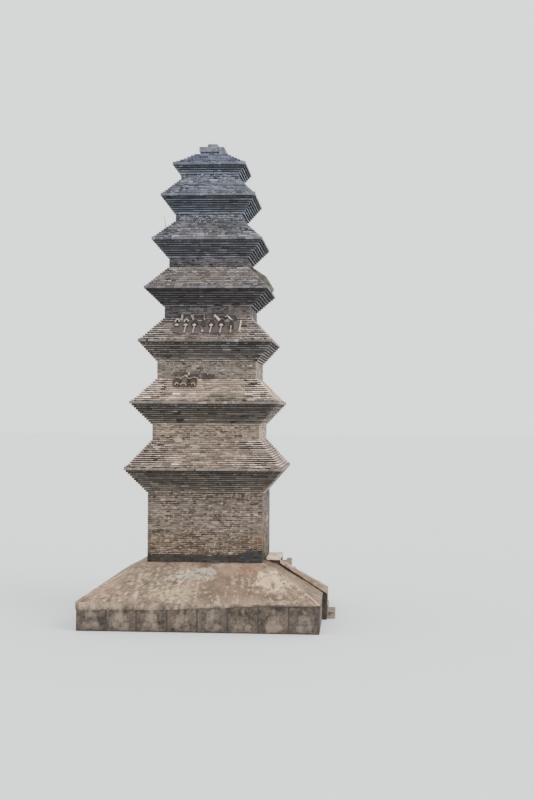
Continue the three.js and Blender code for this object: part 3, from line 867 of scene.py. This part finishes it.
def apron_profile():
    """Half widths and levels of the cement's slope, from the rim up to the tower's foot."""
    facing_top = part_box("podium_facing_left")[1][2]
    levels = {}
    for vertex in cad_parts["cement_apron"].data.vertices:
        place = vertex.co
        on_corner = place.x < 0 and abs(place.x - place.y) < 0.001
        if on_corner and place.z > facing_top + 0.001:
            levels[round(place.z, 3)] = -place.x
    return np.array([(half, level) for level, half in sorted(levels.items())])


# The sunken far right corner: its level at the wall and its fall along X and Y
SUNKEN_TOP = 1.95
SUNKEN_FALL = (0.478, 0.1456)


def sunken_level(x, y):
    wall = half_width("storey_1_walls")
    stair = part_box("stair_cheek_far")[1][1]
    plane = SUNKEN_TOP - SUNKEN_FALL[0] * (x - wall) - SUNKEN_FALL[1] * (y - stair)
    return np.where((x > wall) & (y > stair), plane, 99.0)


# Stains on the cement's front slope: place along it and share of the way up it, half sizes, colour
# and strength. The other sides carry the same ones the other way round.
STAINS = [
    (-2.00, 0.50, 1.00, 0.50, (158, 144, 127), 0.7),
    (-0.75, 0.22, 0.85, 0.22, (190, 180, 158), 0.75),
    (1.00, 0.36, 1.25, 0.40, (158, 138, 117), 0.85),
    (0.35, 0.15, 0.40, 0.11, (138, 127, 108), 0.7),
    (-0.55, 0.57, 0.80, 0.13, (190, 184, 171), 0.95),
    (0.10, 0.70, 0.50, 0.11, (192, 186, 174), 0.9),
    (0.65, 0.90, 0.45, 0.06, (184, 177, 164), 0.8),
    (0.15, 0.97, 0.30, 0.04, (128, 118, 108), 0.8),
    (1.00, 0.70, 0.25, 0.12, (178, 160, 132), 0.7),
    (1.50, 0.74, 0.34, 0.14, (174, 146, 120), 0.8),
    (2.35, 0.50, 0.50, 0.27, (206, 196, 177), 0.9),
    (2.40, 0.42, 0.12, 0.12, (132, 118, 100), 0.8),
    (2.55, 0.15, 0.60, 0.09, (128, 117, 101), 0.8),
    (2.95, 0.06, 0.40, 0.04, (184, 168, 147), 0.8),
]


def apron_tints(points):
    """Cement colours: tan with stains and specks, painted highlights on the hips, painted shade at the
    foot.
    """
    x, y = points[..., 0], points[..., 1]
    rim, foot = half_width("podium_facing_front"), half_width("storey_1_walls")
    reach = np.maximum(np.abs(x), np.abs(y))
    climb = (rim - reach) / (rim - foot)
    front = -y >= np.abs(x)
    along = np.where(front, x, np.where(y >= np.abs(x), x, np.sign(x) * -y))
    cloud = field(points, 1.1, 3)
    patch = field(points, 3.2, 5)
    fleck = field(points, 9.0, 9)
    fine = field(points, 17.0, 12, 3)
    runs = field(together(7.0 * along, 1.5 * climb, 0), 1.0, 31)
    along = along + 0.22 * field(points, 1.6, 21)
    rise = climb + 0.08 * field(points, 2.1, 23)
    tints = mixed(shown(150, 133, 115), shown(186, 170, 152), 0.5 + 0.6 * cloud + 0.5 * patch)
    for middle, height, half, tall, colour, strength in STAINS:
        away = np.hypot((along - middle) / half, (rise - height) / tall)
        edge = ramp(1.1 - away + 0.40 * patch + 0.45 * fleck + 0.25 * fine, 0.0, 0.5)
        tints = mixed(tints, shown(*colour), strength * edge)
    right_slope = ramp(x - np.abs(y), 0.0, 0.05) * ramp(-y, 0.5, 0.6)
    tints = mixed(tints, shown(152, 134, 112) * (1 + 0.2 * fleck)[..., None], 0.85 * right_slope)
    tints = tints * (1 + 0.26 * fleck + 0.22 * fine + 0.14 * patch)[..., None]
    rough = ramp(np.abs(along - 1.0), 0.8, 1.3)
    white = rough * ramp(fleck + 0.5 * fine + 0.5 * runs, 0.30, 0.80)
    washed = ramp(climb, 0.75, 0.45) * ramp(runs + 0.6 * fleck, 0.25, 0.60)
    grime = rough * ramp(-fleck + 0.6 * patch - 0.5 * fine - 0.3 * runs, 0.30, 0.75)
    # A painted highlight along the hips of the slope
    hip_highlight = hill(np.abs(x) - np.abs(y), 0, 0.034) * ramp(patch, -0.4, 0.1)
    # Painted shade in the corner at the tower's foot
    wall_foot_shade = 1 - ramp(reach - foot, 0.0, 0.12)
    for share, strength, colour in (
            (white, 0.5, (212, 203, 187)), (washed, 0.5, (204, 194, 176)),
            (grime, 0.6, (112, 100, 87)), (hip_highlight, 0.85, (212, 200, 182)),
            (wall_foot_shade, 0.55, (100, 90, 80))):
        tints = mixed(tints, shown(*colour), strength * share)
    return tints * LIT / LIT_SLOPE


def cement_bottom(side, along):
    """Lower edge of the cement's rim, which hangs over the slabs most at the front left."""
    facing_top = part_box("podium_facing_left")[1][2]
    places = together(along, 7 * side, 0)
    edge = facing_top - 0.05
    if side == FRONT:
        edge = np.interp(along, [-4.0, -1.05, 0.82, 1.58, 2.2], [0.70, 0.737, 0.831, 0.875, 0.90])
    edge = edge + 0.03 * field(places, 1.7, 2) + 0.012 * field(places, 9.0, 2)
    return np.minimum(edge, facing_top - 0.004)


def side_strip(batch, side, start, end, columns, profile, rim):
    """A strip of the cement on one side, between two sloping edges given as functions."""
    share = np.linspace(0, 1, columns)
    rows = []
    for reach, height in profile:
        along = start(reach) + (end(reach) - start(reach)) * share
        rows.append(turned(side, along, reach, height))
    surface = np.array(rows)
    swell = 0.010 * field(surface, 1.1, 6) + 0.006 * field(surface, 6.0, 8)
    surface[..., 2] += np.minimum(swell - 0.008, 0.0)
    drop = sunken_level(surface[..., 0], surface[..., 1])
    surface[..., 2] = np.minimum(surface[..., 2], drop)
    batch.add(surface, grid_faces(len(rows), columns), apron_tints(surface).reshape(-1, 3))

    # The rim hangs from the slope's outer edge
    top = surface[0]
    along = start(rim) + (end(rim) - start(rim)) * share
    bottom = np.minimum(cement_bottom(side, along), top[:, 2] - 0.055)
    levels = [bottom, bottom, (bottom + top[:, 2]) / 2, top[:, 2]]
    outs = [rim - 0.04, rim - 0.006, rim - 0.002, rim - 0.001]
    band = np.array([turned(side, along, out, height) for out, height in zip(outs, levels)])
    blotch = 0.55 + 0.8 * field(band, 7.0, 15) + 0.5 * field(band, 2.5, 16)
    tints = mixed(shown(122, 111, 98), shown(186, 174, 158), blotch)
    hidden = ramp(along, 1.2, 2.4) if side == FRONT else 0.3
    tints = mixed(tints, shown(106, 96, 87) * (1 + 0.2 * field(band, 5.0))[..., None], 0.8 * hidden)
    # Painted shade: the rim darkens towards its lower edge, where it hangs over the slabs
    tints = tints * np.array([0.3, 0.6, 0.95, 1.0])[:, None, None]
    batch.add(band, grid_faces(4, columns), tints.reshape(-1, 3))


def add_cement(material):
    cell = 0.045
    rough = apron_profile()
    rim = rough[0, 0]
    reach = np.linspace(rim, rough[-1, 0], round((rim - rough[-1, 0]) / cell))
    level = np.interp(-reach, -rough[:, 0], rough[:, 1])
    profile = together(reach, level)
    stair_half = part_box("stair_cheek_far")[1][1] - 0.002
    batch = Batch()
    whole = round(2 * rim / cell)
    part = round((rim - stair_half) / cell)
    for side in (FRONT, BACK, LEFT):
        side_strip(batch, side, lambda r: -r, lambda r: r, whole, profile, rim)
    side_strip(batch, RIGHT, lambda r: -r, lambda r: -stair_half, part, profile, rim)
    side_strip(batch, RIGHT, lambda r: stair_half, lambda r: r, part, profile, rim)

    # The strip between the wall and the stair's landing
    outs = np.array([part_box("landing_slab")[0][0] + 0.01, half_width("storey_1_walls")])
    levels = np.interp(-outs, -rough[:, 0], rough[:, 1])
    along = np.linspace(-stair_half, stair_half, 30)
    strip = turned(RIGHT, along, outs[:, None], levels[:, None])
    batch.add(strip, grid_faces(2, 30), apron_tints(strip).reshape(-1, 3))
    piece = batch.make("cement_cover", material, "cement")
    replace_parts(piece, "cement_apron")


# Carved slabs of the podium

SLAB_GAP = 0.010
RELIEF = 0.015
# Rounded forms of a seated figure: middle across and up, half sizes, and how high they stand
FIGURE = [
    (0.0, 0.76, 0.30, 0.22, 0.30),
    (0.0, 0.79, 0.12, 0.11, 0.95),
    (0.0, 0.53, 0.27, 0.20, 0.90),
    (-0.30, 0.50, 0.11, 0.20, 0.70),
    (0.30, 0.50, 0.11, 0.20, 0.70),
    (0.0, 0.40, 0.20, 0.10, 1.00),
    (-0.28, 0.24, 0.30, 0.12, 0.95),
    (0.28, 0.24, 0.30, 0.12, 0.95),
    (0.0, 0.12, 0.62, 0.07, 0.45),
]


def figure_relief(across, up, mirror):
    """Height share of the carving at places across (-1 to 1) and up (0 to 1) a slab."""
    height = np.zeros(np.broadcast(across, up).shape)
    for cx, cy, rx, ry, tall in FIGURE:
        spread = ((across * mirror - cx) / rx) ** 2 + ((up - cy) / ry) ** 2
        height = np.maximum(height, tall * np.sqrt(np.clip(1 - spread, 0, 1)))
    return height


def add_slab(batch, side, start, end, low, high, face, carved):
    cell = 0.026
    columns = max(4, round((end - start) / cell))
    rows = round((high - low) / cell)
    across = np.linspace(-1, 1, columns)[None, :]
    up = np.linspace(0, 1, rows)[:, None]
    along = (start + end) / 2 + across * (end - start) / 2
    height = low + up * (high - low)
    surface = turned(side, along, face, height)
    wear = field(surface, 3.0, 11)
    grain = field(surface, 14.0, 12)
    mirror = 1 if rng.random() < 0.5 else -1
    relief = figure_relief(across, up, mirror) * carved * (0.75 + 0.5 * wear)
    edge = np.minimum(ramp(1 - np.abs(across), 0.0, 0.06), ramp(0.5 - np.abs(up - 0.5), 0.0, 0.05))
    out = face + RELIEF * np.clip(relief, 0, 1) + 0.003 * grain + 0.002 * wear - 0.012 * (1 - edge)
    out = np.minimum(out, face + RELIEF + 0.004)
    points = turned(side, along, out, height)
    value = math.exp(rng.normal(0, 0.08))
    # The carving's raised forms are painted lighter, with real wear and grain in the same tone
    painted_relief_light_and_wear = 0.36 + 0.55 * relief + 0.34 * wear + 0.30 * grain
    hue = np.array([1.03, 1.0, 0.96]) + rng.normal(0, 0.015) * np.array([-1, 0, 1])
    tints = mixed(shown(54, 49, 45), shown(152, 141, 130), painted_relief_light_and_wear) * value * hue
    # Painted shade in the grooves round the figure and at the slab's edges, next to its neighbours
    groove_shade = hill(relief, 0.10, 0.09) * carved
    tints = tints * ((0.4 + 0.6 * edge) * (1 - 0.35 * groove_shade))[..., None]
    batch.add(points, grid_faces(rows, columns), tints.reshape(-1, 3))


def add_slabs(material):
    """Upright slabs with weathered seated figures in low relief, on every side of the podium."""
    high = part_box("podium_facing_left")[1][2]
    face = -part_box("podium_facing_front")[0][1] + 0.004
    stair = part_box("stair_cheek_far")[1][1] + 0.02
    for name, side, start, end, count in (
            ("front", FRONT, -face, face, 8), ("back", BACK, -face, face, 8),
            ("left", LEFT, -face, face, 8), ("right_near", RIGHT, -face, -stair, 3),
            ("right_far", RIGHT, stair, face, 3)):
        batch = Batch()
        width = (end - start) / count
        for i in range(count):
            low_end = start + i * width
            carved = 1.0 if rng.random() < 0.8 else 0.25
            ends = turned(side, np.array([low_end, low_end + width]), face, 0.0)
            top = min(high, float(sunken_level(ends[:, 0], ends[:, 1]).min()) - 0.07)
            add_slab(batch, side, low_end + SLAB_GAP / 2, low_end + width - SLAB_GAP / 2,
                     0.0, top, face, carved)
        batch.make(f"podium_slabs_{name}", material, "facing_granite")


# Finishes of the solids that stay

def roof_mortar(name, dark, pale_dark, pale_light):
    """Mortar pale in the middle of a roof's side, and painted shadow in the deep gaps near its corners.
    """
    material, tree, shader = start_material(name)
    x, y, _ = object_axes(tree)
    sizes = [maths(tree, "ABSOLUTE", axis) for axis in (x, y)]
    ratio = maths(tree, "DIVIDE", maths(tree, "MINIMUM", *sizes), maths(tree, "MAXIMUM", *sizes))
    pale = blend(tree, noise_share(tree, 5.0, 0.35, 0.65), pale_dark, pale_light)
    finish_material(tree, shader, blend(tree, cut(tree, ratio, 0.45, 0.7), pale, dark))
    return material


def wear_edges(solid, width):
    """Rounds the edges of a solid as wear does."""
    weld = solid.modifiers.new("joined points", "WELD")
    weld.merge_threshold = 0.0002
    bevel = solid.modifiers.new("worn edges", "BEVEL")
    bevel.width = width
    bevel.segments = 2
    bevel.limit_method = "ANGLE"


# The walls' mortar shows as pale flecks that are longer than they are high
MORTAR_SCALE = 7.0
MORTAR_STRETCH = (1, 1, 2.6)


def foot_mortar(name, dark, light, foot):
    """Wall mortar that turns dark with the bricks at the foot of the lowest wall."""
    material, tree, shader = start_material(name)
    patches = noise_share(tree, MORTAR_SCALE, 0.38, 0.62, stretch=MORTAR_STRETCH)
    pale = blend(tree, patches, dark, light)
    x, y, z = object_axes(tree)
    across = maths(tree, "MINIMUM", x, maths(tree, "MULTIPLY", y, -1.0))
    height = cut(tree, across, SOOT_FROM, SOOT_TO, foot + SOOT_LOW, foot + SOOT_HIGH)
    clean = cut(tree, maths(tree, "SUBTRACT", z, height), -0.04, 0.04)
    finish_material(tree, shader, blend(tree, clean, shown(70, 64, 58), pale))
    return material


def storey_material(number, part):
    """Mortar that shows between the bricks of a part of a storey."""
    if part == "corbels":
        # The corbels' gaps are painted nearly black as the shadow under each overhanging course
        brown, slate = ((44, 41, 38), (62, 57, 52)), ((42, 45, 51), (58, 62, 70))
        colours = brown if number < SLATE_FROM else slate
        return mottled_material(f"corbel_gap_shadow_{number}", *[shown(*each) for each in colours], 5.0)
    base = base_colour(number, "roof" if part == "roof" else "wall")
    if part == "roof":
        # Painted shadow in the deep washed-out joints near the roofs' corners
        dark = shown(32, 29, 27) if number < SLATE_FROM else shown(50, 53, 60)
        return roof_mortar(f"roof_mortar_and_shadow_{number}", dark, base * 0.30, base * 0.60)
    if number == 1:
        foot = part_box("storey_1_walls")[0][2]
        return foot_mortar("foot_mortar", base * 0.5, base * 3.5, foot)
    patchy = (0.4, 3.9) if number < 6 else (0.3, 6.8)
    return mottled_material(f"wall_mortar_{number}", base * patchy[0], base * patchy[1],
                            MORTAR_SCALE, MORTAR_STRETCH)


# The other solids' finishes, of which the first whose name fits is taken: start of the solid's name,
# material, dark and light screen colour, scale of its patches and width of the worn edges
FINISHES = (
    # The stair's cheeks are painted dark as the shadow under their copings
    ("stair_cheek", "cheek_granite_in_shadow", (58, 51, 46), (98, 87, 77), 6.0, 0),
    ("stair_coping", "coping_granite", (146, 132, 118), (194, 181, 166), 5.0, 0.012),
    (("stair", "niche"), "stair_granite", (124, 112, 101), (172, 160, 147), 4.0, 0.012),
    # The landing's pale stone also carries a painted highlight
    ("landing", "landing_granite_and_highlight", (180, 171, 160), (214, 207, 198), 4.0, 0.012),
    ("podium", "podium_granite", (56, 50, 45), (90, 81, 73), 3.0, 0),
    ("tile_remnants_roof_4", "lichen_tile", (84, 80, 76), (146, 142, 130), 5.0, 0),
    ("tile_fragment", "red_tile", (62, 50, 49), (94, 79, 77), 9.0, 0),
    ("tile", "tile_bed", (76, 66, 63), (104, 92, 88), 8.0, 0),
    ("finial", "finial_granite", (112, 113, 122), (156, 155, 164), 9.0, 0.050),
    ("", "rusty_iron", (36, 28, 24), (60, 44, 36), 30.0, 0),
)


def dress_solids():
    finishes = [(start, mottled_material(name, shown(*dark), shown(*light), scale), worn)
                for start, name, dark, light, scale, worn in FINISHES]
    for name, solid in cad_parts.items():
        if name.startswith("storey"):
            _, number, part = name.split("_")
            chosen, worn = storey_material(int(number), part), 0
        else:
            chosen, worn = next(finish[1:] for finish in finishes if name.startswith(finish[0]))
        solid.data.materials.clear()
        solid.data.materials.append(chosen)
        if worn:
            wear_edges(solid, worn)


# Camera, matched to the photograph's view

CAMERA_PLACE = Vector((5.153, -46.264, 7.173))
CAMERA_TURN = math.radians(3.92)
CAMERA_PITCH = math.radians(0.6)
CAMERA_ROLL = math.radians(0.3)
FOCAL_PIXELS = 1300
PHOTO_HEIGHT = 800
SENSOR = 36.0


def add_camera():
    data = bpy.data.cameras.new("camera")
    data.sensor_width = SENSOR
    data.lens = FOCAL_PIXELS / PHOTO_HEIGHT * SENSOR
    data.clip_end = 1000
    camera = add_object("camera", data)
    level_right = Vector((math.cos(CAMERA_TURN), math.sin(CAMERA_TURN), 0))
    forward = Vector((-math.sin(CAMERA_TURN) * math.cos(CAMERA_PITCH),
                      math.cos(CAMERA_TURN) * math.cos(CAMERA_PITCH), math.sin(CAMERA_PITCH)))
    level_up = level_right.cross(forward)
    right = level_right * math.cos(CAMERA_ROLL) + level_up * math.sin(CAMERA_ROLL)
    up = right.cross(forward)
    turn = Matrix((right, up, -forward)).transposed().to_4x4()
    camera.matrix_world = Matrix.Translation(CAMERA_PLACE) @ turn
    bpy.context.scene.camera = camera


# Plain floor and soft light

FLOOR_HALF = 400.0
SKY_STRENGTH = 1.9
KEY_STRENGTH = 1.6
KEY_WIDTH = math.radians(40)
KEY_TILT = math.radians(58)
KEY_TURN = math.radians(58)


def add_stage():
    material, _, shader = start_material("studio_floor")
    shader.inputs["Base Color"].default_value = (0.79, 0.795, 0.79, 1)
    shader.inputs["Roughness"].default_value = 0.9
    mesh = bpy.data.meshes.new("floor")
    corners = [(x * FLOOR_HALF, y * FLOOR_HALF, 0) for x, y in ((-1, -1), (1, -1), (1, 1), (-1, 1))]
    mesh.from_pydata(corners, [], [(0, 1, 2, 3)])
    mesh.materials.append(material)
    floor = add_object("floor", mesh)

    world = bpy.data.worlds.new("studio")
    world.use_nodes = True
    background = world.node_tree.nodes["Background"]
    background.inputs["Color"].default_value = (0.91, 0.93, 0.95, 1)
    background.inputs["Strength"].default_value = SKY_STRENGTH
    bpy.context.scene.world = world

    lamp = bpy.data.lights.new("key", "SUN")
    lamp.energy = KEY_STRENGTH
    lamp.angle = KEY_WIDTH
    key = add_object("key", lamp)
    key.rotation_euler = (KEY_TILT, 0, KEY_TURN)


brick = tinted_material("brick")
dirt = tinted_material("roof_dirt", roughness=0.95, grain=30.0)
lime_and_tile = tinted_material("lime_and_tile", roughness=0.85, grain=50.0, grain_dark=0.8)
cement_skin = tinted_material("cement_skin", roughness=0.9, grain=24.0, grain_dark=0.60, bump_depth=0.006)
carved_granite = tinted_material("carved_granite", roughness=0.9, grain=60.0, grain_dark=0.7)

dress_solids()
lay_bricks(brick)
lay_eave_rubble(brick)
lay_roof_mortar(dirt)
add_roof_3_tiles(lime_and_tile)
add_roof_2_tiles(lime_and_tile)
add_cement(cement_skin)
add_slabs(carved_granite)
add_stage()
add_camera()
